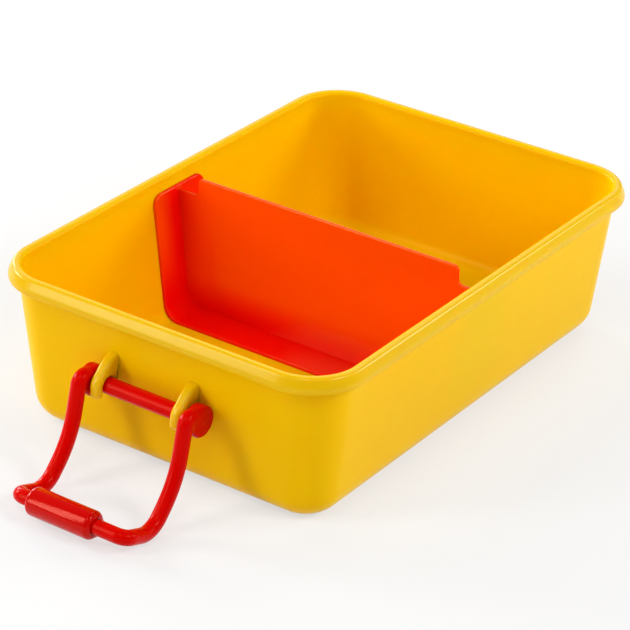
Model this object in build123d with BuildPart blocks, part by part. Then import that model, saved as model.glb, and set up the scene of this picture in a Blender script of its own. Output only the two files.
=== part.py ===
import os
from math import acos, atan2, cos, hypot, sin

from build123d import *

os.makedirs("parts", exist_ok=True)

# An open moulded tub with a lift-out divider and a bail handle at one short end.
# Millimetres. +Z is up, the tub stands on Z = 0, its plan centre is the origin
# and the handle is at -Y.

# Tub: the walls lean outwards from a rounded base to a solid rim lip
rim_width = 200.0  # left to right, between the lip's centre lines
rim_length = 288.5  # front to back, between the lip's centre lines
rim_corner_radius = 27.0  # in plan, on the lip's centre line
lip_reach = 3.5  # to each side of its centre line
lip_rise = 3.5  # its top, above the centre line
lip_drop = 5.2  # its underside, below the centre line
lip_shoulder = 1.2  # where its top ends, out from the centre line
lip_cheek_drop = 1.6  # where its sloping face ends, below the centre line
lip_fillet = 2.2
lip_step = 0.3  # how far the lip stands in from the wall's inner face
wall = 2.0  # at the rim
foot_wall = 3.6  # at the floor
tub_height = 82.7  # ground to the lip's centre line
base_width = 179.4  # where the leaning walls would reach the ground
base_length = 269.3
base_corner_radius = 18.9
base_edge_fillet = 13.4
floor_thickness = 2.4
floor_fillet = 7.0  # from the floor up into the walls

# Underside: a hollow below the floor, inside the ring that the tub stands on
floor_rise = 6.1
hollow_inset = 19.0  # from the base's sides to the hollow
hollow_corner_radius = 10.0

# Handle pivot
handle_x = -1.4  # the hooks and the handle stand a little left of the middle
pivot_height = 46.6  # above the ground
rod_diameter = 8.7
rod_clearance = 0.3

# Hooks: two fins on the front wall that curl over the pivot rod and hang down in front of it
hook_spacing = 47.4  # centre to centre
hook_thickness = 6.2
hook_ring = 4.2  # material outside the rod's seat
hook_root_rise = 16.1  # from the pivot up to where the fin leaves the wall
hook_tip_drop = 4.9  # how far the finger in front of the rod hangs below the pivot
hook_tip_fillet = 1.9
hook_edge_fillet = 1.6
hook_sink = 1.0  # how far the fin runs into the wall

# Bail: pivot rod, two end knobs, two bent arms and an end bar in one moulding
knob_diameter = 16.3
knob_wall_gap = 0.55  # from a knob to the front wall, measured level
knob_inset = 0.4  # how far a knob's end stands in from the arm's side
knob_fillet = 1.4
arm_diameter = 7.9
arm_hook_gap = 0.95  # from a hook's outer side to the arm beside it
bar_splay = 0.9  # how far each arm has spread by the time it reaches the bar
elbow_out = 8.6  # the arms' corners are measured out from the pivot
elbow_rise = 9.6  # above the pivot
leg_bend_out = 17.1
leg_bend_drop = 25.0  # below the pivot
heel_out = 36.7
heel_dip = 2.25  # the heel's corner, below an arm that would lie on the ground
bar_out = 57.1
bar_height = 9.2  # above the ground
elbow_inner_radius = 0.45
leg_bend_radius = 50.0
heel_radius = 16.2
bar_corner_inner_radius = 0.65

# Grip: a split sleeve that turns on the end bar
grip_wall = 3.05
grip_length = 38.8
grip_end_fillet = 2.8
grip_clearance = 0.3
grip_slit = 6.0
grip_slit_angle = -40.0  # counted up from straight back, towards the tub
grip_shift = -4.0  # sideways along the bar, from the bail's middle

# Divider: a strip round the floor and both side walls, with a panel across it
divider_y = -1.0  # the panel's middle
divider_clearance = 0.4  # to each side wall, at the rim
divider_floor_clearance = 0.4  # to each side wall, at the floor
strip_thickness = 2.0
strip_depth = 42.0
strip_drop = 7.4  # its side tops, below the panel's top
strip_bend = 10.0  # outer radius from floor to side
strip_corner = 6.0
panel_thickness = 2.2
panel_drop = 0.3  # its top, below the rim's top
shoulder_drop = 10.0  # the low shoulders beside the strip, below the panel's top
shoulder_width = 12.6  # from the strip's inner face to the raised middle
shoulder_fillet = 3.0
crease_fillet = 0.8  # where the panel meets the strip

floor_z = floor_rise + floor_thickness
rim_z = tub_height
pivot_z = pivot_height


# Width, length and corner radius of the tub's outside, at a height above the ground
def outside(height):
    overhang = lip_reach - lip_step - wall
    top = (rim_width - 2 * overhang, rim_length - 2 * overhang, rim_corner_radius - overhang)
    base = (base_width, base_length, base_corner_radius)
    return [low + (high - low) * height / tub_height for low, high in zip(base, top)]


def inside(height):
    width, length, radius = outside(height)
    thick = wall + (foot_wall - wall) * (rim_z - height) / (rim_z - floor_z)
    return width - 2 * thick, length - 2 * thick, radius - thick


def front_wall_y(height):
    return -outside(height)[1] / 2


pivot_y = front_wall_y(pivot_height) - knob_wall_gap - knob_diameter / 2
seat_radius = rod_diameter / 2 + rod_clearance
hook_radius = seat_radius + hook_ring

# One hook fin, drawn looking at its side: local X points out from the tub, local Y up
fin_plane = Plane(origin=(0, pivot_y, pivot_z), x_dir=(0, -1, 0), z_dir=(-1, 0, 0))
root_low_x, root_x = [
    pivot_y - front_wall_y(pivot_height + rise) - hook_sink for rise in (0, hook_root_rise)
]
tangent_angle = atan2(hook_root_rise, root_x) - acos(hook_radius / hypot(root_x, hook_root_rise))
with BuildPart() as hook:
    with BuildSketch(fin_plane) as fin:
        with BuildLine():
            Polyline(
                (0, 0),
                (root_low_x, 0),
                (root_x, hook_root_rise),
                (hook_radius * cos(tangent_angle), hook_radius * sin(tangent_angle)),
                close=True,
            )
        make_face()
        Circle(hook_radius)
        Circle(seat_radius, mode=Mode.SUBTRACT)
        Rectangle(2 * hook_radius, hook_radius, align=(Align.CENTER, Align.MAX), mode=Mode.SUBTRACT)
        with Locations((seat_radius, 0)):
            Rectangle(hook_ring, hook_tip_drop, align=(Align.MIN, Align.MAX))
        fillet(fin.vertices().sort_by(Axis.Y)[:2], radius=hook_tip_fillet)
    extrude(amount=hook_thickness / 2, both=True)
    fin_edges = hook.faces().filter_by(Axis.X).edges()
    fillet([edge for edge in fin_edges if edge.center().Y < pivot_y + seat_radius], radius=hook_edge_fillet)


# A body with leaning sides and a rounded bottom edge: the tub's outside, or its hollow
def leaning_body(section, bottom, edge_fillet):
    with BuildPart() as body:
        for height in (bottom, tub_height):
            with BuildSketch(Plane.XY.offset(height)):
                RectangleRounded(*section(height))
        loft(ruled=True)
        fillet(body.faces().sort_by(Axis.Z)[0].edges(), radius=edge_fillet)
    return body.part


with BuildPart() as tub:
    add(leaning_body(outside, 0, base_edge_fillet))
    add(leaning_body(inside, floor_z, floor_fillet), mode=Mode.SUBTRACT)
    with BuildLine(Plane.XY.offset(rim_z)) as rim_line:
        corners = [(x * rim_width / 2, y * rim_length / 2) for x, y in ((1, -1), (1, 1), (-1, 1), (-1, -1))]
        FilletPolyline(*corners, radius=rim_corner_radius, close=True)
    along = rim_line.line % 0
    with BuildSketch(Plane(origin=rim_line.line @ 0, x_dir=along.cross(Vector(0, 0, 1)), z_dir=-along)) as lip:
        with BuildLine():
            Polyline(
                (-lip_reach, -lip_drop / 2),
                (-lip_reach, lip_rise),
                (lip_shoulder, lip_rise),
                (lip_reach, -lip_cheek_drop),
                (lip_reach, -lip_drop),
                (-lip_step - wall, -lip_drop),
                close=True,
            )
        make_face()
        fillet(lip.vertices().sort_by(Axis.X)[-3:] + lip.vertices().sort_by(Axis.Z)[-2:], radius=lip_fillet)
    sweep(path=rim_line.line)
    with BuildSketch():
        RectangleRounded(base_width - 2 * hollow_inset, base_length - 2 * hollow_inset, hollow_corner_radius)
    extrude(amount=floor_rise, mode=Mode.SUBTRACT)
    with Locations((handle_x - hook_spacing / 2, 0, 0), (handle_x + hook_spacing / 2, 0, 0)):
        add(hook.part)

arm_radius = arm_diameter / 2
arm_spacing = hook_spacing + hook_thickness + 2 * arm_hook_gap + arm_diameter
knob_length = arm_diameter - 2 * knob_inset
bar_y = pivot_y - bar_out

with BuildPart() as bail:
    with Locations((handle_x, pivot_y, pivot_z)):
        with Locations((-arm_spacing / 2, 0, 0), (arm_spacing / 2, 0, 0)):
            Cylinder(knob_diameter / 2, knob_length, rotation=(0, 90, 0))
    fillet(bail.edges().filter_by(GeomType.CIRCLE), radius=knob_fillet)
    with Locations((handle_x, pivot_y, pivot_z)):
        Cylinder(rod_diameter / 2, arm_spacing, rotation=(0, 90, 0))
    arm_points = [
        (0, 0),
        (elbow_out, elbow_rise),
        (leg_bend_out, -leg_bend_drop),
        (heel_out, arm_radius - heel_dip - pivot_z),
        (bar_out, bar_height - pivot_z),
    ]
    bend_radii = [
        arm_radius + elbow_inner_radius,
        leg_bend_radius,
        heel_radius,
        arm_radius + bar_corner_inner_radius,
    ]
    splay = bar_splay / bar_out
    with BuildLine(Plane((handle_x, pivot_y, pivot_z))) as arm_line:
        left = [(-arm_spacing / 2 - splay * out, -out, up) for out, up in arm_points]
        right = [(arm_spacing / 2 + splay * out, -out, up) for out, up in reversed(arm_points)]
        FilletPolyline(*left, *right, radius=bend_radii + bend_radii[::-1])
    with BuildSketch(Plane(origin=arm_line.line @ 0, z_dir=arm_line.line % 0)):
        Circle(arm_radius)
    sweep(path=arm_line.line)

bore_radius = arm_radius + grip_clearance
grip_radius = bore_radius + grip_wall
grip_end = (handle_x + grip_shift - grip_length / 2, bar_y, bar_height)
grip_plane = Plane(origin=grip_end, x_dir=(0, 1, 0), z_dir=(1, 0, 0))
with BuildPart() as grip_sleeve:
    with BuildSketch(grip_plane):
        Circle(grip_radius)
    extrude(amount=grip_length)
    fillet(grip_sleeve.edges().filter_by(GeomType.CIRCLE), radius=grip_end_fillet)
    with BuildSketch(grip_plane):
        Circle(bore_radius)
        slit_align = (Align.MIN, Align.CENTER)
        Rectangle(2 * grip_radius, grip_slit, rotation=grip_slit_angle, align=slit_align)
    extrude(amount=grip_length, mode=Mode.SUBTRACT)


panel_height = rim_z + lip_rise - panel_drop - floor_z


# Half the divider's width at a height above the floor, less an inset
def divider_half(height, inset=0.0):
    low = inside(floor_z)[0] / 2 - divider_floor_clearance
    high = inside(floor_z + panel_height)[0] / 2 - divider_clearance
    return low + (high - low) * height / panel_height - inset


strip_height = panel_height - strip_drop
shoulder_height = panel_height - shoulder_drop
divider_plane = Plane.XZ.offset(-divider_y)
panel_inset = strip_thickness / 2
raised_half = divider_half(shoulder_height, strip_thickness) - shoulder_width
with BuildPart() as divider:
    for inset, top, mode in (
        (0, strip_height, Mode.ADD),
        (strip_thickness, strip_height + strip_bend, Mode.SUBTRACT),
    ):
        with BuildSketch(divider_plane) as outline:
            with BuildLine():
                Polyline(
                    (-divider_half(top, inset), floor_z + top),
                    (-divider_half(inset, inset), floor_z + inset),
                    (divider_half(inset, inset), floor_z + inset),
                    (divider_half(top, inset), floor_z + top),
                    close=True,
                )
            make_face()
            fillet(outline.vertices().sort_by(Axis.Y)[:2], radius=strip_bend - inset)
        extrude(amount=strip_depth / 2, both=True, mode=mode)
    with BuildSketch(Plane.YZ) as strip_side:
        with Locations((divider_y, floor_z + strip_height / 2)):
            Rectangle(strip_depth, strip_height)
        fillet(strip_side.vertices().sort_by(Axis.Y)[-2:], radius=strip_corner)
    extrude(amount=rim_width / 2, both=True, mode=Mode.INTERSECT)
    with BuildSketch(divider_plane) as panel:
        with BuildLine():
            Polyline(
                (-divider_half(panel_inset, panel_inset), floor_z + panel_inset),
                (divider_half(panel_inset, panel_inset), floor_z + panel_inset),
                (divider_half(shoulder_height, panel_inset), floor_z + shoulder_height),
                (raised_half, floor_z + shoulder_height),
                (raised_half, floor_z + panel_height),
                (-raised_half, floor_z + panel_height),
                (-raised_half, floor_z + shoulder_height),
                (-divider_half(shoulder_height, panel_inset), floor_z + shoulder_height),
                close=True,
            )
        make_face()
        upper_corners = panel.vertices().sort_by(Axis.Y)[2:]
        fillet(upper_corners.sort_by(lambda corner: abs(corner.X))[:4], radius=shoulder_fillet)
        fillet(panel.vertices().sort_by(Axis.Y)[:2], radius=strip_bend - panel_inset)
    extrude(amount=panel_thickness / 2, both=True)
    fillet(divider.edges(Select.LAST).filter_by(Edge.is_interior), radius=crease_fillet)

for name, piece in (("tub", tub), ("bail", bail), ("grip_sleeve", grip_sleeve), ("divider", divider)):
    piece.part.label = name
    export_step(piece.part, f"parts/{name}.step")
    print(name, len(piece.part.solids()), "solid", piece.part.bounding_box().size)
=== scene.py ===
from math import acos, asin, atan2, cos, pi, radians, sin, sqrt, tan

import bmesh
import bpy
import numpy as np
from mathutils import Matrix, Vector


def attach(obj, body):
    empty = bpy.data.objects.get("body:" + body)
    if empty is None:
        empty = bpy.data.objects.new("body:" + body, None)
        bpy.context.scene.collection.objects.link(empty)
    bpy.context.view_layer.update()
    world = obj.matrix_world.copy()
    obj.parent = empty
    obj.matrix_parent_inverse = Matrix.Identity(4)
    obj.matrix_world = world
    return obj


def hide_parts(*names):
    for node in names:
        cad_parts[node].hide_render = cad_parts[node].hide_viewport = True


# A moulded tub with a lift-out divider and a hooked-on bail handle.
# Every mesh is drawn in millimetres in the CAD frame and scaled to metres as it becomes an object.
mm = 0.001

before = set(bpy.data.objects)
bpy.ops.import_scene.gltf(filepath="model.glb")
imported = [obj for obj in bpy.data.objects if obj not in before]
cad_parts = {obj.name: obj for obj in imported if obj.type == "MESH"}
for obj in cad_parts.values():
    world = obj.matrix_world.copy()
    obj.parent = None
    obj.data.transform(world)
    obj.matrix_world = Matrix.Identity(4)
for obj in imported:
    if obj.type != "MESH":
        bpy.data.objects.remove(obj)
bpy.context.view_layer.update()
print("frame loaded:", sorted(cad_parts))

mixA, mixB, mixOut = 6, 7, 2  # the colour sockets of a mix node


# An sRGB hex code as the linear colour that sockets take
def hexColour(code):
    parts = [int(code[i:i + 2], 16) / 255 for i in (1, 3, 5)]
    return [p / 12.92 if p <= 0.04045 else ((p + 0.055) / 1.055) ** 2.4 for p in parts] + [1.0]


def addNode(tree, kind, settings=None, inputs=None):
    node = tree.nodes.new(kind)
    for name, value in (settings or {}).items():
        setattr(node, name, value)
    for name, value in (inputs or {}).items():
        socket = node.inputs[name]
        if isinstance(value, bpy.types.NodeSocket):
            tree.links.new(value, socket)
        else:
            socket.default_value = value
    return node


def makePiece(name, bm):
    weld, sharpAngle = 1e-4, radians(38)  # mm; steeper edges than this stay crisp
    bmesh.ops.remove_doubles(bm, verts=bm.verts, dist=weld)
    bmesh.ops.recalc_face_normals(bm, faces=bm.faces)
    bmesh.ops.scale(bm, vec=(mm, mm, mm), verts=bm.verts)
    mesh = bpy.data.meshes.new(name)
    bm.to_mesh(mesh)
    bm.free()
    mesh.shade_smooth()
    mesh.set_sharp_from_angle(angle=sharpAngle)
    piece = bpy.data.objects.new(name, mesh)
    bpy.context.scene.collection.objects.link(piece)
    return piece


def finishPiece(piece, body, node, slot, *materials):
    piece.data.materials.clear()
    for material in materials:
        piece.data.materials.append(material)
    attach(piece, body)
    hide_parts(node)
    print("piece", piece.name, "on", body, len(piece.data.polygons), "faces")


# Faces between closed rows of vertices
def joinRows(bm, rows):
    for low, high in zip(rows, rows[1:]):
        for i in range(len(low)):
            j = (i + 1) % len(low)
            bm.faces.new((low[i], low[j], high[j], high[i]))


# Rings of points joined one to the next, and capped at both ends
def joinRings(bm, rings):
    rows = [[bm.verts.new(p) for p in ring] for ring in rings]
    joinRows(bm, rows)
    bm.faces.new(rows[0])
    bm.faces.new(rows[-1])


def shares(steps):
    return [k / steps for k in range(1, steps + 1)]


def quarterTurn(steps):
    return [pi / 2 * k / steps for k in range(steps + 1)]


# A closed or open run of corners, each with its own bend radius
def bendCorners(corners, radii, steps, closed=True):
    run = []
    last = len(corners) - 1
    for i, radius in enumerate(radii):
        here = Vector(corners[i])
        if radius == 0 or (not closed and i in (0, last)):
            run.append(here)
            continue
        back = (Vector(corners[i - 1]) - here).normalized()
        onward = (Vector(corners[(i + 1) % len(corners)]) - here).normalized()
        half = back.angle(onward) / 2
        middle = here + (back + onward).normalized() * radius / sin(half)
        first = here + back * radius / tan(half) - middle
        final = here + onward * radius / tan(half) - middle
        turn = first.angle(final)
        for k in range(steps + 1):
            a = turn * k / steps
            run.append(middle + (first * sin(turn - a) + final * sin(a)) / sin(turn))
    return run


# A flat plate with rounded edges: the outline runs counter-clockwise, edge is one radius or one per point
def roundedPlate(bm, outline, depth, edge, steps, place):
    count = len(outline)
    edges = edge if isinstance(edge, list) else [edge] * count
    normals = []
    for i in range(count):
        along = outline[(i + 1) % count] - outline[i - 1]
        normals.append(Vector((along.y, -along.x)).normalized())
    rings = []
    for side in (1, -1):
        half = []
        for a in quarterTurn(steps):
            ring = []
            for p, n, e in zip(outline, normals, edges):
                q = p - n * e * (1 - sin(a))
                ring.append(place(q.x, q.y, side * (depth / 2 - e * (1 - cos(a)))))
            half.append(ring)
        rings += half if side == 1 else half[::-1]
    joinRings(bm, rings)


plasticLook = {
    "drift": 70.0,  # mm, slow drift of the pigment through the moulding
    "driftSpan": (0.3, 0.7),  # from the colour to the deeper colour
    "ripple": 26.0,  # mm, the faint waviness of a moulded wall
    "rippleHeight": 0.05,  # mm
    "peel": 2.4,  # mm, fine surface grain, drawn coarser than life so that it shows
    "peelHeight": 0.0035,  # mm
    "rub": 1.6,  # mm between fine rub marks
    "rubTurn": (0.4, 0.2, 0.7), "rubStretch": (1.0, 0.08, 0.5),  # the way they run, and how long they are
    "rubSpan": (0.58, 0.78),  # only the strongest show
    "rubbed": 0.06,  # how much duller a rub mark is
    "refraction": 1.49,
    "depth": 3.4, "depthOfColour": (1.0, 0.4, 0.08),  # mm that light goes in, and red, green and blue's share
}


# Injection-moulded polypropylene: a dense waxy colour under a smooth skin, with soft-edged
# reflections that waver a little where the wall is not quite flat
def mouldedPolypropylene(name, colour, deepColour, glow, roughness, gloss, sheen, rippleGain=1.0):
    look = plasticLook
    material = bpy.data.materials.new(name)
    material.use_nodes = True
    tree = material.node_tree
    skin = tree.nodes["Principled BSDF"]
    place = addNode(tree, "ShaderNodeTexCoord").outputs["Object"]

    def noise(size, detail, vector=place):
        return addNode(tree, "ShaderNodeTexNoise", {}, {
            "Vector": vector, "Scale": 1 / (size * mm), "Detail": detail}).outputs["Fac"]

    def spread(value, span, low, high):
        return addNode(tree, "ShaderNodeMapRange", {}, {
            "Value": value, "From Min": span[0], "From Max": span[1],
            "To Min": low, "To Max": high}).outputs["Result"]

    pigment = spread(noise(look["drift"], 3.0), look["driftSpan"], 0.0, 1.0)
    tint = addNode(tree, "ShaderNodeMix", {"data_type": "RGBA"}, {"Factor": pigment})
    tint.inputs[mixA].default_value = hexColour(colour)
    tint.inputs[mixB].default_value = hexColour(deepColour)
    tree.links.new(tint.outputs[mixOut], skin.inputs["Base Color"])

    stretched = addNode(tree, "ShaderNodeMapping", {}, {
        "Vector": place, "Rotation": look["rubTurn"], "Scale": look["rubStretch"]})
    marks = noise(look["rub"], 4.0, stretched.outputs["Vector"])
    dullness = spread(marks, look["rubSpan"], roughness, roughness + look["rubbed"])
    tree.links.new(dullness, skin.inputs["Roughness"])

    wavy = addNode(tree, "ShaderNodeBump", {}, {
        "Height": noise(look["ripple"], 1.0), "Distance": look["rippleHeight"] * mm * rippleGain, "Strength": 1.0})
    grain = addNode(tree, "ShaderNodeBump", {}, {
        "Height": noise(look["peel"], 2.0), "Distance": look["peelHeight"] * mm, "Strength": 1.0,
        "Normal": wavy.outputs["Normal"]})
    tree.links.new(grain.outputs["Normal"], skin.inputs["Normal"])
    skin.inputs["IOR"].default_value = look["refraction"]
    skin.inputs["Specular IOR Level"].default_value = gloss
    skin.inputs["Specular Tint"].default_value = hexColour(sheen)
    skin.inputs["Subsurface Weight"].default_value = glow
    skin.inputs["Subsurface Radius"].default_value = look["depthOfColour"]
    skin.inputs["Subsurface Scale"].default_value = look["depth"] * mm
    return material


yellowPolypropylene = mouldedPolypropylene(  # the tub's walls: soft sheen, and a warm glow from within
    "yellowPolypropylene", "#f0c200", "#edbc00", glow=0.45, roughness=0.28, gloss=0.05, sheen="#f6ffb8")
handledPolypropylene = mouldedPolypropylene(  # the lip and hooks: the same yellow, polished by hands
    "handledPolypropylene", "#e8bb00", "#e4b600", glow=0.45, roughness=0.24, gloss=0.31, sheen="#ecffca")
redPolypropylene = mouldedPolypropylene(  # the bail: a dense red with a low sheen
    "redPolypropylene", "#d60301", "#ce0201", glow=0.1, roughness=0.22, gloss=0.13, sheen="#ff9a70")
gripPolypropylene = mouldedPolypropylene(  # the sleeve: shinier than the bail, with a clear streak of light
    "gripPolypropylene", "#cc0301", "#c40201", glow=0.1, roughness=0.12, gloss=0.38, sheen="#ff9a80")
dividerPolypropylene = mouldedPolypropylene(  # the divider: flat and shiny, so that it mirrors the walls
    "dividerPolypropylene", "#f00602", "#ea0501", glow=0.1, roughness=0.12, gloss=0.35, sheen="#fff389",
    rippleGain=0.6)

paintedDividerLight = {  # mm: where the painted light starts, and where it is full
    "colour": "#fb4a02",
    "panelY": -1.0, "panelReach": 1.5, "panelUp": (12, 34), "panelIn": (-94, -74), "panelLeast": 0.15,
    "stripUp": (20, 60), "stripForward": (-7, -21), "stripLeft": (-60, -70),
}


# Painted light on the divider: the panel is painted orange away from the strip and the floor, where light and the
# yellow walls' reflection reach it, leaving painted shade next to the strip and the floor; the left end of the
# strip is painted orange towards its front edge, where light falls on it
def paintDividerLight(material):
    tree = material.node_tree
    skin = tree.nodes["Principled BSDF"]
    under = skin.inputs["Base Color"].links[0].from_socket
    spot = addNode(tree, "ShaderNodeSeparateXYZ", {}, {
        "Vector": addNode(tree, "ShaderNodeTexCoord").outputs["Object"]}).outputs

    def fade(axis, span, least=0.0):
        return addNode(tree, "ShaderNodeMapRange", {"interpolation_type": "SMOOTHSTEP"}, {
            "Value": spot[axis], "From Min": span[0] * mm, "From Max": span[1] * mm,
            "To Min": least, "To Max": 1.0}).outputs["Result"]

    def combine(operation, *values):
        return addNode(tree, "ShaderNodeMath", {"operation": operation}, dict(enumerate(values))).outputs[0]

    onPanel = combine("COMPARE", spot["Y"], paintedDividerLight["panelY"] * mm, paintedDividerLight["panelReach"] * mm)
    across = fade("X", paintedDividerLight["panelIn"], paintedDividerLight["panelLeast"])
    panel = combine("MULTIPLY", combine("MULTIPLY", fade("Z", paintedDividerLight["panelUp"]), across), onPanel)
    strip = combine("MULTIPLY", fade("Z", paintedDividerLight["stripUp"]), fade("Y", paintedDividerLight["stripForward"]))
    strip = combine("MULTIPLY", strip, fade("X", paintedDividerLight["stripLeft"]))
    # the painted orange light, full where the masks are full
    lit = addNode(tree, "ShaderNodeMix", {"data_type": "RGBA"}, {"Factor": combine("MAXIMUM", panel, strip)})
    tree.links.new(under, lit.inputs[mixA])
    lit.inputs[mixB].default_value = hexColour(paintedDividerLight["colour"])
    tree.links.new(lit.outputs[mixOut], skin.inputs["Base Color"])


# painted light and shade in the divider's colour
paintDividerLight(dividerPolypropylene)
print("materials ready")


# The tub: rings from the floor up the inside, over the lip, down the outside and in under the floor
tub = {
    "rimWidth": 200.0, "rimLength": 288.5, "rimCorner": 27.0,  # on the lip's centre line
    "lipReach": 3.5, "lipRise": 3.5, "lipDrop": 5.2,  # from the centre line
    "lipShoulder": 1.2, "lipCheek": -1.6, "lipStep": 0.3,
    "lipStart": -1.0, "lipStop": 0.6,  # where the section starts inside and stops underneath
    "lipBends": (2.4, 2.2, 5.0, 2.2), "underLip": 2.2,  # radii, from the inside round to the wall
    "wall": 2.0, "height": 82.7,  # ground to the lip's centre line
    "wallTop": 2.3, "wallFoot": 3.9,  # the wall as it looks, thicker towards the floor
    "wallStop": 2.6,  # the inner wall stops this far below the centre line
    "baseWidth": 179.4, "baseLength": 269.3, "baseCorner": 18.9, "baseRound": 13.4,
    "floor": 2.4, "floorRise": 6.1, "floorRound": 7.0,
    "hollowInset": 19.0, "hollowCorner": 10.0, "footRound": 0.4,  # under the floor
    "cornerSteps": 20, "longSteps": 30, "shortSteps": 20,  # round a ring
    "floorSteps": 10, "innerSteps": 8, "lipSteps": 10, "underSteps": 6, "outerSteps": 9, "baseSteps": 12,
    "lipInward": -0.02, "lipDown": -0.15,  # a face that looks further in or down is not on the polished lip
}
floorZ = tub["floorRise"] + tub["floor"]
rimZ = tub["height"]


# Width, length and corner radius of the tub's outside at a height above the ground
def tubOutside(height):
    over = tub["lipReach"] - tub["lipStep"] - tub["wall"]
    top = (tub["rimWidth"] - 2 * over, tub["rimLength"] - 2 * over, tub["rimCorner"] - over)
    base = (tub["baseWidth"], tub["baseLength"], tub["baseCorner"])
    return [low + (high - low) * height / tub["height"] for low, high in zip(base, top)]


def tubRing(width, length, corner, z, grow=0.0):
    halfX, halfY, r = width / 2 + grow, length / 2 + grow, corner + grow
    points = []
    for cx, cy, start, straight in (
        (halfX - r, halfY - r, 0, tub["shortSteps"]),
        (-halfX + r, halfY - r, 90, tub["longSteps"]),
        (-halfX + r, -halfY + r, 180, tub["shortSteps"]),
        (halfX - r, -halfY + r, 270, tub["longSteps"]),
    ):
        for k in range(tub["cornerSteps"] + 1):
            a = radians(start + 90 * k / tub["cornerSteps"])
            points.append(Vector((cx + r * cos(a), cy + r * sin(a), z)))
        points.append(straight)
    ring = []
    for i, p in enumerate(points):
        if isinstance(p, Vector):
            ring.append(p)
        else:  # divide the straight run to the next corner
            onward = points[(i + 1) % len(points)]
            ring += [points[i - 1].lerp(onward, k / p) for k in range(1, p)]
    return ring


# The lip's section, out from its centre line and up: up the inside, over the top,
# down the sloping face and under
def lipSection():
    reach, rise, drop = tub["lipReach"], tub["lipRise"], tub["lipDrop"]
    corners = [
        (-reach, tub["lipStart"]), (-reach, rise), (tub["lipShoulder"], rise),
        (reach, tub["lipCheek"]), (reach, -drop), (tub["lipStop"], -drop),
    ]
    return bendCorners(corners, [0, *tub["lipBends"], 0], tub["lipSteps"], closed=False)


def wallAt(height):
    share = min(1.0, (rimZ - height) / (rimZ - floorZ))
    return tub["wallTop"] + (tub["wallFoot"] - tub["wallTop"]) * share


def tubRings():
    bend, soft, base, foot = [tub[k] for k in ("floorRound", "underLip", "baseRound", "footRound")]
    rings = []
    for a in quarterTurn(tub["floorSteps"]):  # round from the floor up into the wall
        height = floorZ + bend * (1 - cos(a))
        rings.append(tubRing(*tubOutside(height), height, -wallAt(height) - bend * (1 - sin(a))))
    low, top = floorZ + bend, rimZ - tub["wallStop"]
    for s in shares(tub["innerSteps"]):  # inner wall
        height = low + (top - low) * s
        rings.append(tubRing(*tubOutside(height), height, -wallAt(height)))
    rim = (tub["rimWidth"], tub["rimLength"], tub["rimCorner"])
    rings += [tubRing(*rim, rimZ + up, out) for out, up in lipSection()]
    under = rimZ - tub["lipDrop"]
    for a in quarterTurn(tub["underSteps"]):  # hollow round from the lip's underside into the wall
        height = under - soft * (1 - cos(a))
        rings.append(tubRing(*tubOutside(height), height, soft * (1 - sin(a))))
    top = under - soft
    for s in shares(tub["outerSteps"])[:-1]:  # outer wall
        height = top + (base - top) * s
        rings.append(tubRing(*tubOutside(height), height))
    for a in quarterTurn(tub["baseSteps"]):  # rounded base edge
        height = base * (1 - sin(a))
        rings.append(tubRing(*tubOutside(height), height, -base * (1 - cos(a))))
    inset = 2 * tub["hollowInset"]
    hollow = (tub["baseWidth"] - inset, tub["baseLength"] - inset, tub["hollowCorner"])
    for z, grow in ((0, foot), (foot, 0), (tub["floorRise"], 0)):  # hollow under the floor
        rings.append(tubRing(*hollow, z, grow))
    return rings


bm = bmesh.new()
joinRings(bm, tubRings())
tubShell = makePiece("tubShell", bm)
finishPiece(tubShell, "tub", "tub", "yellow_plastic", yellowPolypropylene, handledPolypropylene)
for face in tubShell.data.polygons:  # the lip's top and outer face
    outward = face.normal.x * face.center.x + face.normal.y * face.center.y > tub["lipInward"]
    if outward and face.center.z / mm > rimZ - tub["lipDrop"] and face.normal.z > tub["lipDown"]:
        face.material_index = 1


# The two hooks on the front wall, each a fin that curls down over the rod
hook = {
    "x": -2.25, "spacing": 48.5, "thickness": 6.2, "ring": 4.2, "rootRise": 15.0, "tipDrop": 4.9,
    "sink": 1.9,  # the root is buried in the wall, deeper than its edges are rounded
    "outerRound": 2.6, "seatRound": 1.2, "rootRound": 1.6,
    "bulge": 1.2,  # how far the finger's back stands out from a straight line
    "crownSteps": 24, "backSteps": 12, "rootSteps": 6, "underSteps": 4, "seatSteps": 30, "tipSteps": 16,
    "edgeSteps": 10,
}
pivot = {"height": 46.6, "rod": 8.7, "clearance": 0.3, "knob": 16.3, "knobGap": 0.55}


def frontWallY(height):
    return -tubOutside(height)[1] / 2


pivotY = frontWallY(pivot["height"]) - pivot["knobGap"] - pivot["knob"] / 2
pivotZ = pivot["height"]


# How far the wall's face is from the pivot, at a rise above it: a negative way out
def wallOut(rise):
    return pivotY - frontWallY(pivot["height"] + rise)


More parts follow.
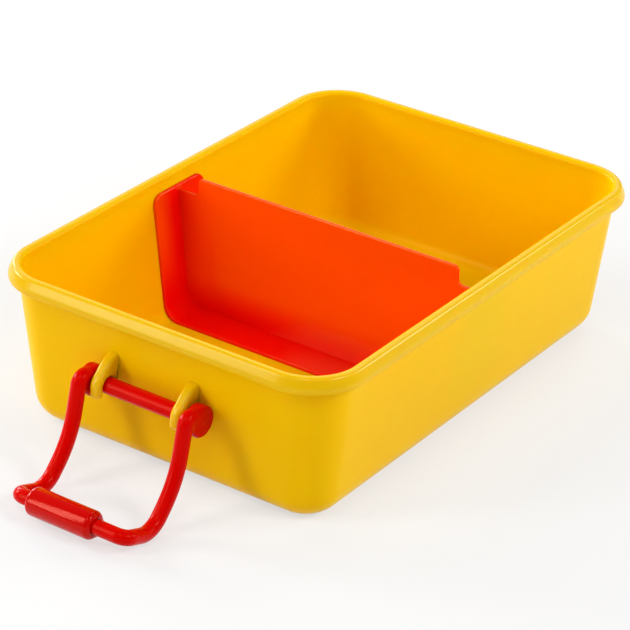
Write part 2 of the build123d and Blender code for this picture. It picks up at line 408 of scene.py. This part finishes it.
# Counter-clockwise, looking at the fin's side: out from the pivot and up, with the edge's rounding at each point
def hookOutline():
    seat = pivot["rod"] / 2 + pivot["clearance"]
    outer = seat + hook["ring"]
    rise, sink = hook["rootRise"], hook["sink"]
    rootLow, rootHigh = Vector((wallOut(0) - sink, 0)), Vector((wallOut(rise) - sink, rise))
    tangent = atan2(rootHigh.y, rootHigh.x) - acos(outer / rootHigh.length)
    tipRadius = hook["ring"] / 2
    tip = Vector((seat + tipRadius, tipRadius - hook["tipDrop"]))
    big, small, root = hook["outerRound"], hook["seatRound"], hook["rootRound"]
    outline = []
    for s in [0, *shares(hook["crownSteps"])]:  # over the rod
        outline.append((Vector((outer * cos(tangent * s), outer * sin(tangent * s))), big))
    last = outline[-1][0]
    slope = (rootHigh - last).normalized()
    back = Vector((slope.y, -slope.x)) * 4 * hook["bulge"]
    for s in shares(hook["backSteps"]):  # along the finger's back to the wall
        outline.append((last.lerp(rootHigh, s) + back * s * (1 - s), big + (root - big) * s))
    for s in shares(hook["rootSteps"]):  # down inside the wall
        outline.append((rootHigh.lerp(rootLow, s), root))
    for s in shares(hook["underSteps"])[:-1]:  # out to the seat
        outline.append((rootLow.lerp(Vector((-seat, 0)), s), root + (small - root) * s))
    for s in [0, *shares(hook["seatSteps"])]:  # the rod's seat
        outline.append((Vector((-seat * cos(pi * s), seat * sin(pi * s))), small))
    for s in [0, *shares(hook["tipSteps"])]:  # the finger's round tip
        outline.append((tip + tipRadius * Vector((-cos(pi * s), -sin(pi * s))), small + (big - small) * s))
    return [p for p, e in outline], [e for p, e in outline]


bm = bmesh.new()
finOutline, finRounds = hookOutline()
for side in (-1, 1):
    hookX = hook["x"] + side * hook["spacing"] / 2
    roundedPlate(bm, finOutline, hook["thickness"], finRounds, hook["edgeSteps"],
                 lambda out, up, t, x=hookX: Vector((x + t, pivotY - out, pivotZ + up)))
tubHooks = makePiece("tubHooks", bm)
finishPiece(tubHooks, "tub", "tub", "yellow_plastic", handledPolypropylene)


# The bail handle: the arms and the end bar are one bent tube, with a rod and two knobs at the pivot
bail = {
    "x": -1.4, "arm": 7.9, "hookGap": 0.4, "knobInset": 0.4, "knobRound": 1.4,
    "splay": 0.9, "lean": 1.0,  # each arm spreads towards the bar, and the left one leans out at the pivot
    "elbow": (8.6, 9.6), "legBend": (17.1, -25.0),  # out from the pivot, up from it
    "heelOut": 36.7, "heelDip": 2.25, "barOut": 57.1, "barHeight": 9.2,
    "elbowInner": 0.45, "legBendRadius": 50.0, "heelRadius": 13.9, "cornerInner": 0.65,
    "bendSteps": 14, "tubeSteps": 40, "turnSteps": 56,
    "voxel": 0.34, "smoothTurns": 3, "fillTurns": 200,
    "settle": 0.5, "lookEvery": 4,  # share of the way that a point moves, and turns between looks at the normals
    "hookEnd": 1.0, "hookReach": 0.4,  # mm of slack about the part that the hooks hold
}
armSpacing = hook["spacing"] + hook["thickness"] + 2 * bail["hookGap"] + bail["arm"]
barY = pivotY - bail["barOut"]


# A bent tube: rounds the corners of a run of points by the radius stored on each, and sweeps a circle along it
def bentTubeTree():
    tree = bpy.data.node_groups.new("bentTube", "GeometryNodeTree")
    for name, kind in (
        ("Path", "NodeSocketGeometry"), ("Tube Radius", "NodeSocketFloat"), ("Bend Steps", "NodeSocketInt"),
        ("Round Steps", "NodeSocketInt"), ("Material", "NodeSocketMaterial"),
    ):
        tree.interface.new_socket(name, in_out="INPUT", socket_type=kind)
    tree.interface.new_socket("Tube", in_out="OUTPUT", socket_type="NodeSocketGeometry")
    given = addNode(tree, "NodeGroupInput").outputs
    bend = addNode(tree, "GeometryNodeInputNamedAttribute", {"data_type": "FLOAT"}, {"Name": "bend"})
    line = addNode(tree, "GeometryNodeMeshToCurve", {}, {"Mesh": given["Path"]})
    rounded = addNode(tree, "GeometryNodeFilletCurve", {"mode": "POLY"}, {
        "Curve": line.outputs["Curve"], "Count": given["Bend Steps"], "Radius": bend.outputs["Attribute"]})
    circle = addNode(tree, "GeometryNodeCurvePrimitiveCircle", {}, {
        "Resolution": given["Round Steps"], "Radius": given["Tube Radius"]})
    swept = addNode(tree, "GeometryNodeCurveToMesh", {}, {
        "Curve": rounded.outputs["Curve"], "Profile Curve": circle.outputs["Curve"], "Fill Caps": True})
    real = addNode(tree, "GeometryNodeRealizeInstances", {}, {"Geometry": swept.outputs["Mesh"]})
    painted = addNode(tree, "GeometryNodeSetMaterial", {}, {
        "Geometry": real.outputs["Geometry"], "Material": given["Material"]})
    addNode(tree, "NodeGroupOutput", {}, {"Tube": painted.outputs["Geometry"]})
    return tree


# The mesh with its modifiers in it
def meshAsSeen(piece):
    return bpy.data.meshes.new_from_object(piece.evaluated_get(bpy.context.evaluated_depsgraph_get()))


# How far an arm leans out to the left, at a way out from the pivot
def armLean(side, out):
    return bail["lean"] * (1 - out / bail["barOut"]) if side < 0 else 0


def armTubeMesh():
    r = bail["arm"] / 2
    run = [
        ((0, 0), 0), (bail["elbow"], r + bail["elbowInner"]), (bail["legBend"], bail["legBendRadius"]),
        ((bail["heelOut"], r - bail["heelDip"] - pivotZ), bail["heelRadius"]),
        ((bail["barOut"], bail["barHeight"] - pivotZ), r + bail["cornerInner"]),
    ]
    points = []
    for side, half in ((-1, run), (1, run[::-1])):
        for (out, up), radius in half:
            x = bail["x"] + side * (armSpacing / 2 + bail["splay"] * out / bail["barOut"])
            points.append(((x - armLean(side, out), pivotY - out, pivotZ + up), radius))
    mesh = bpy.data.meshes.new("armRun")
    mesh.from_pydata([p for p, radius in points], [(i, i + 1) for i in range(len(points) - 1)], [])
    stored = mesh.attributes.new("bend", "FLOAT", "POINT")
    for i, (p, radius) in enumerate(points):
        stored.data[i].value = radius
    carrier = bpy.data.objects.new("armRun", mesh)
    bpy.context.scene.collection.objects.link(carrier)
    tree = bentTubeTree()
    grow = carrier.modifiers.new("bentTube", "NODES")
    grow.node_group = tree
    values = {
        "Tube Radius": r, "Bend Steps": bail["bendSteps"], "Round Steps": bail["tubeSteps"],
        "Material": redPolypropylene,
    }
    for item in tree.interface.items_tree:
        if item.name in values:
            grow[item.identifier] = values[item.name]
    done = meshAsSeen(carrier)
    bpy.data.objects.remove(carrier)
    return done


# Rings about the pivot's axis, from (x, radius) pairs
def turnOnPivot(bm, profile):
    turn = [2 * pi * i / bail["turnSteps"] for i in range(bail["turnSteps"])]
    joinRings(bm, [[Vector((x, pivotY + r * cos(a), pivotZ + r * sin(a))) for a in turn] for x, r in profile])


def knobProfile(x):
    half, r, soft = bail["arm"] / 2 - bail["knobInset"], pivot["knob"] / 2, bail["knobRound"]
    right = [(half - soft * (1 - sin(a)), r - soft * (1 - cos(a))) for a in [radians(15 * k) for k in range(7)]]
    return [(x - u, v) for u, v in right[::-1]] + [(x + u, v) for u, v in right]


# Closes the tubes, rod and knobs into one skin and fills the creases between them, as a moulding has them:
# a point moves only where its neighbours stand proud of it, and not between the knobs, where the hooks are
def mouldTogether(piece):
    remesh = piece.modifiers.new("oneSkin", "REMESH")
    remesh.mode, remesh.voxel_size = "VOXEL", bail["voxel"] * mm
    mesh = meshAsSeen(piece)
    piece.modifiers.clear()
    count = len(mesh.vertices)
    spots = np.empty(count * 3)
    mesh.vertices.foreach_get("co", spots)
    spots = spots.reshape(-1, 3)
    ends = np.empty(len(mesh.edges) * 2, dtype=np.int32)
    mesh.edges.foreach_get("vertices", ends)
    start = np.concatenate((ends[0::2], ends[1::2]))
    stop = np.concatenate((ends[1::2], ends[0::2]))
    share = np.bincount(start, minlength=count)[:, None]
    away = np.abs(spots[:, 0] / mm - bail["x"])
    reach = np.hypot(spots[:, 1] / mm - pivotY, spots[:, 2] / mm - pivotZ)
    held = (away < armSpacing / 2 - bail["hookEnd"]) & (reach < pivot["knob"] / 2 + bail["hookReach"])
    normals = np.empty(count * 3)
    for turn in range(bail["smoothTurns"] + bail["fillTurns"]):
        middles = np.stack([np.bincount(start, spots[stop, i], count) for i in range(3)], axis=1) / share
        pull = middles - spots
        if turn >= bail["smoothTurns"]:
            if turn % bail["lookEvery"] == 0 or turn == bail["smoothTurns"]:
                mesh.vertices.foreach_set("co", spots.ravel())
                mesh.update()
                mesh.vertex_normals.foreach_get("vector", normals)
            hollow = (pull * normals.reshape(-1, 3)).sum(axis=1) > 0
            pull = pull * (hollow & ~held)[:, None]
        spots = spots + pull * bail["settle"]
    mesh.vertices.foreach_set("co", spots.ravel())
    mesh.update()
    piece.data = mesh
    mesh.shade_smooth()


bm = bmesh.new()
bm.from_mesh(armTubeMesh())
for side in (-1, 1):
    turnOnPivot(bm, knobProfile(bail["x"] + side * armSpacing / 2 - armLean(side, 0)))
turnOnPivot(bm, [(bail["x"] + side * armSpacing / 2, pivot["rod"] / 2) for side in (-1, 1)])
bailHandle = makePiece("bailHandle", bm)
mouldTogether(bailHandle)
finishPiece(bailHandle, "bail", "bail", "red_plastic", redPolypropylene)


# The grip sleeve: a split tube, loose on the end bar
grip = {
    "wall": 3.05, "length": 38.8, "endRound": 2.75, "boreRound": 0.15, "clearance": 0.3,
    "trim": 0.012,  # keeps the sleeve inside the solid's box
    "slit": 6.0, "slitAngle": -40.0, "shift": -4.0,
    "outerSteps": 72, "boreSteps": 48, "endSteps": 8,
}


def gripOutline():
    bore = bail["arm"] / 2 + grip["clearance"]
    outer = bore + grip["wall"] - grip["trim"]
    slit, halfSlit = radians(grip["slitAngle"]), grip["slit"] / 2
    outerGap, boreGap = asin(halfSlit / outer), asin(halfSlit / bore)
    outline, rounds = [], []
    for s in [0, *shares(grip["outerSteps"])]:
        a = outerGap + (2 * pi - 2 * outerGap) * s
        outline.append(Vector((outer * cos(slit + a), outer * sin(slit + a))))
        room = outer - (halfSlit + 2 * grip["boreRound"]) / sin(min(a, 2 * pi - a, pi / 2))
        rounds.append(max(grip["boreRound"], min(grip["endRound"], room)))  # the end's round runs out at the slit
    for s in [0, *shares(grip["boreSteps"])]:
        a = slit - boreGap + 2 * pi - (2 * pi - 2 * boreGap) * s
        outline.append(Vector((bore * cos(a), bore * sin(a))))
        rounds.append(grip["boreRound"])
    return outline, rounds


bm = bmesh.new()
gripX = bail["x"] + grip["shift"]
sleeveOutline, sleeveRounds = gripOutline()
roundedPlate(bm, sleeveOutline, grip["length"], sleeveRounds, grip["endSteps"],
             lambda u, v, t: Vector((gripX + t, barY + u, bail["barHeight"] + v)))
gripSleeve = makePiece("gripSleeve", bm)
finishPiece(gripSleeve, "grip", "grip_sleeve", "red_plastic", gripPolypropylene)


# The divider: a strip down one wall, across the floor and up the other, with a panel across its middle
divider = {
    "y": -1.0, "clearance": 0.4, "floorClearance": 2.0,
    "strip": 2.0, "depth": 42.0, "stripDrop": 7.4, "bend": 10.0, "corner": 6.0,
    "panel": 2.2, "panelDrop": 0.3, "shoulderDrop": 10.0, "shoulderWidth": 12.6, "shoulderRound": 3.0,
    "edgeRound": 0.85, "runStep": 1.0,
    "bendSteps": 14, "flatSteps": 8, "cornerSteps": 10, "edgeSteps": 6, "outlineSteps": 10,
}
panelHeight = rimZ + tub["lipRise"] - divider["panelDrop"] - floorZ
stripHeight = panelHeight - divider["stripDrop"]
shoulderHeight = panelHeight - divider["shoulderDrop"]


def dividerHalf(height, inset):
    low = tubOutside(floorZ)[0] / 2 - tub["wall"] - divider["floorClearance"]
    high = tubOutside(floorZ + panelHeight)[0] / 2 - tub["wall"] - divider["clearance"]
    return low + (high - low) * height / panelHeight - inset


# The strip's middle line, left top to right top: its length, and the point and inward normal at a way along it
def stripRun():
    inset = divider["strip"] / 2
    bend = divider["bend"] - inset
    left = [(-dividerHalf(height, inset), floorZ + height) for height in (stripHeight, inset)]
    corners = left + [(-x, z) for x, z in left[::-1]]
    line = bendCorners(corners, [0, bend, bend, 0], divider["bendSteps"], closed=False)
    spans = [(b - a).length for a, b in zip(line, line[1:])]
    total = sum(spans)

    def at(s):
        s = min(max(s, 0.0), total)
        for a, b, span in zip(line, line[1:], spans):
            if s <= span or b is line[-1]:
                way = (b - a).normalized()
                return a + way * s, Vector((-way.y, way.x))
            s -= span

    return at, total


stripAt, stripTotal = stripRun()


def stripPoint(s, y, t):
    p, n = stripAt(s)
    return Vector((p.x + n.x * t, y, p.y + n.y * t))


def buildStrip(bm):
    soft, steps = divider["edgeRound"], divider["edgeSteps"]
    corner = divider["corner"] - soft
    flat = divider["depth"] / 2 - soft - corner
    offsets = [-flat + 2 * flat * s for s in [0, *shares(divider["flatSteps"])]]
    ends = [flat + corner * sin(a) for a in quarterTurn(divider["cornerSteps"])[1:]]
    offsets = [-e for e in ends[::-1]] + offsets + ends
    columns = int(stripTotal / divider["runStep"])
    half = divider["strip"] / 2
    spots = []
    for off in offsets:
        past = max(0.0, abs(off) - flat)
        trim = soft + corner - sqrt(max(0.0, corner ** 2 - past ** 2))
        run = stripTotal - 2 * trim
        spots.append([Vector((trim + run * i / columns, divider["y"] + off)) for i in range(columns + 1)])
    sides = []
    for t in (half, -half):
        grid = [[bm.verts.new(stripPoint(p.x, p.y, t)) for p in row] for row in spots]
        for a, b in zip(grid, grid[1:]):
            for i in range(columns):
                bm.faces.new((a[i], a[i + 1], b[i + 1], b[i]))
        sides.append(grid)

    def rimOf(rows):
        right, left = [row[-1] for row in rows[:-1]], [row[0] for row in rows[:0:-1]]
        return rows[0][:-1] + right + rows[-1][:0:-1] + left

    loop = rimOf(spots)
    rows = [rimOf(sides[0])]
    for k in range(1, steps + 2):
        a = pi / 2 * k / steps
        t = half - soft * (1 - cos(a)) if k <= steps else -half  # square against the wall
        row = []
        for i, p in enumerate(loop):
            along = loop[(i + 1) % len(loop)] - loop[i - 1]
            n = Vector((along.y, -along.x)).normalized()
            q = p + n * soft * sin(min(a, pi / 2))
            base, normal = stripAt(q.x)
            over = q.x - min(max(q.x, 0.0), stripTotal)
            way = Vector((normal.y, -normal.x))
            spot = base + way * over + normal * t
            row.append(bm.verts.new((spot.x, q.y, spot.y)))
        rows.append(row)
    rows.append(rimOf(sides[1]))
    joinRows(bm, rows)


def buildPanel(bm):
    inset = divider["strip"] / 2
    raised = dividerHalf(shoulderHeight, divider["strip"]) - divider["shoulderWidth"]
    right = [
        ((dividerHalf(inset, inset), floorZ + inset), divider["bend"] - inset),
        ((dividerHalf(shoulderHeight, inset), floorZ + shoulderHeight), 0),
        ((raised, floorZ + shoulderHeight), divider["shoulderRound"]),
        ((raised, floorZ + panelHeight), divider["shoulderRound"]),
    ]
    both = right + [((-x, z), radius) for (x, z), radius in right[::-1]]
    outline = bendCorners([p for p, radius in both], [radius for p, radius in both], divider["outlineSteps"])
    roundedPlate(bm, outline, divider["panel"], divider["edgeRound"], divider["edgeSteps"],
                 lambda x, z, t: Vector((x, divider["y"] + t, z)))


bm = bmesh.new()
buildStrip(bm)
buildPanel(bm)
dividerPlate = makePiece("dividerPlate", bm)
finishPiece(dividerPlate, "divider", "divider", "red_plastic", dividerPolypropylene)


# Floor, light and camera, in metres
studio = {
    "floorHalf": 6.0, "floorDrop": 0.0002,  # just under the tub
    "paper": 0.8, "seenPaper": 0.3,  # how much light the floor throws back, and how much of that the camera sees
    "liftNear": 0.6, "liftFar": 0.85,  # its own white, seen by the camera: it evens out the lamps' fall-off
    "liftFrom": 0.1, "liftReach": 1.2,
    "worldLight": 0.24, "worldSeen": 1.0,
    "distance": 1.7, "aim": (0.0, 0.0, 0.04),
    "lamps": {  # a tent of softboxes: azimuth from +X and elevation in degrees, width, height, watts
        "rightSoftbox": (0, 40, 0.5, 0.5, 10.9),
        "backRightSoftbox": (45, 22, 0.5, 0.5, 8.8),
        "backLeftSoftbox": (155, 20, 0.5, 0.5, 8.0),
        "rimSoftbox": (124, 28, 0.9, 0.8, 2.4),
        "leftSoftbox": (188, 22, 0.5, 0.5, 13.4),
        "frontLeftSoftbox": (237, 28, 0.36, 1.25, 11.8),
        "frontSoftbox": (287, 56, 0.5, 0.5, 4.4),
        "backSoftbox": (90, 54, 0.5, 0.5, 3.0),
    },
    "azimuth": 34.156, "elevation": 28.068, "roll": 2.002,  # degrees
    "eye": (0.74354, -1.10388, 0.7406), "lens": 166.08, "sensor": 36.0,  # lens and sensor in mm
    "clip": (0.05, 50.0),
}


# One where any of these kinds of ray arrives
def anyRay(tree, *kinds):
    rays = addNode(tree, "ShaderNodeLightPath").outputs
    seen = rays[kinds[0]]
    for kind in kinds[1:]:
        seen = addNode(tree, "ShaderNodeMath", {"operation": "MAXIMUM"}, {0: seen, 1: rays[kind]}).outputs[0]
    return seen


def buildFloor():
    bm = bmesh.new()
    bmesh.ops.create_grid(bm, x_segments=2, y_segments=2, size=studio["floorHalf"])
    mesh = bpy.data.meshes.new("studioFloor")
    bm.to_mesh(mesh)
    bm.free()
    floor = bpy.data.objects.new("studioFloor", mesh)
    floor.location.z = -studio["floorDrop"]
    bpy.context.scene.collection.objects.link(floor)
    material = bpy.data.materials.new("paperSweep")  # matt white backdrop paper
    material.use_nodes = True
    tree = material.node_tree
    tree.nodes.clear()
    seen = anyRay(tree, "Is Camera Ray", "Is Glossy Ray", "Is Transmission Ray")
    white = addNode(tree, "ShaderNodeMapRange", {}, {
        "Value": seen, "From Min": 0.0, "From Max": 1.0, "To Min": studio["paper"], "To Max": studio["seenPaper"]})
    paper = addNode(tree, "ShaderNodeBsdfDiffuse", {}, {"Color": white.outputs["Result"]})
    spot = addNode(tree, "ShaderNodeTexCoord")
    far = addNode(tree, "ShaderNodeVectorMath", {"operation": "LENGTH"}, {0: spot.outputs["Object"]})
    even = addNode(tree, "ShaderNodeMapRange", {"interpolation_type": "SMOOTHSTEP"}, {
        "Value": far.outputs["Value"], "From Min": studio["liftFrom"], "From Max": studio["liftReach"],
        "To Min": studio["liftNear"], "To Max": studio["liftFar"]})
    lift = addNode(tree, "ShaderNodeMath", {"operation": "MULTIPLY"}, {0: seen, 1: even.outputs["Result"]})
    glow = addNode(tree, "ShaderNodeEmission", {}, {"Color": (1, 1, 1, 1), "Strength": lift.outputs[0]})
    both = addNode(tree, "ShaderNodeAddShader", {}, {0: paper.outputs["BSDF"], 1: glow.outputs["Emission"]})
    addNode(tree, "ShaderNodeOutputMaterial", {}, {"Surface": both.outputs["Shader"]})
    mesh.materials.append(material)


def buildLight():
    world = bpy.data.worlds.new("studioWorld")
    bpy.context.scene.world = world
    world.use_nodes = True
    tree = world.node_tree
    tree.nodes.clear()
    level = addNode(tree, "ShaderNodeMapRange", {}, {
        "Value": anyRay(tree, "Is Camera Ray", "Is Transmission Ray"), "From Min": 0.0, "From Max": 1.0,
        "To Min": studio["worldLight"], "To Max": studio["worldSeen"]})
    sky = addNode(tree, "ShaderNodeBackground", {}, {"Color": (1, 1, 1, 1), "Strength": level.outputs["Result"]})
    addNode(tree, "ShaderNodeOutputWorld", {}, {"Surface": sky.outputs["Background"]})
    aim = Vector(studio["aim"])
    for name, (azimuth, elevation, width, height, watts) in studio["lamps"].items():
        lamp = bpy.data.lights.new(name, "AREA")
        lamp.shape = "RECTANGLE"
        lamp.size, lamp.size_y, lamp.energy = width, height, watts
        holder = bpy.data.objects.new(name, lamp)
        a, e = radians(azimuth), radians(elevation)
        holder.location = aim + studio["distance"] * Vector((cos(a) * cos(e), sin(a) * cos(e), sin(e)))
        holder.rotation_mode = "QUATERNION"
        holder.rotation_quaternion = (aim - holder.location).to_track_quat("-Z", "Y")
        bpy.context.scene.collection.objects.link(holder)


def buildCamera():
    az, el, roll = [radians(studio[k]) for k in ("azimuth", "elevation", "roll")]
    ahead = Vector((-sin(az) * cos(el), cos(az) * cos(el), -sin(el)))
    level = Vector((cos(az), sin(az), 0))
    upright = level.cross(ahead)
    right = level * cos(roll) + upright * sin(roll)
    up = upright * cos(roll) - level * sin(roll)
    lens = bpy.data.cameras.new("photoCamera")
    lens.lens, lens.sensor_width = studio["lens"], studio["sensor"]
    lens.clip_start, lens.clip_end = studio["clip"]
    camera = bpy.data.objects.new("photoCamera", lens)
    camera.matrix_world = Matrix.Translation(studio["eye"]) @ Matrix((right, up, -ahead)).transposed().to_4x4()
    bpy.context.scene.collection.objects.link(camera)
    bpy.context.scene.camera = camera


buildFloor()
buildLight()
buildCamera()
bpy.context.scene.view_settings.view_transform = "Standard"
print("studio ready")
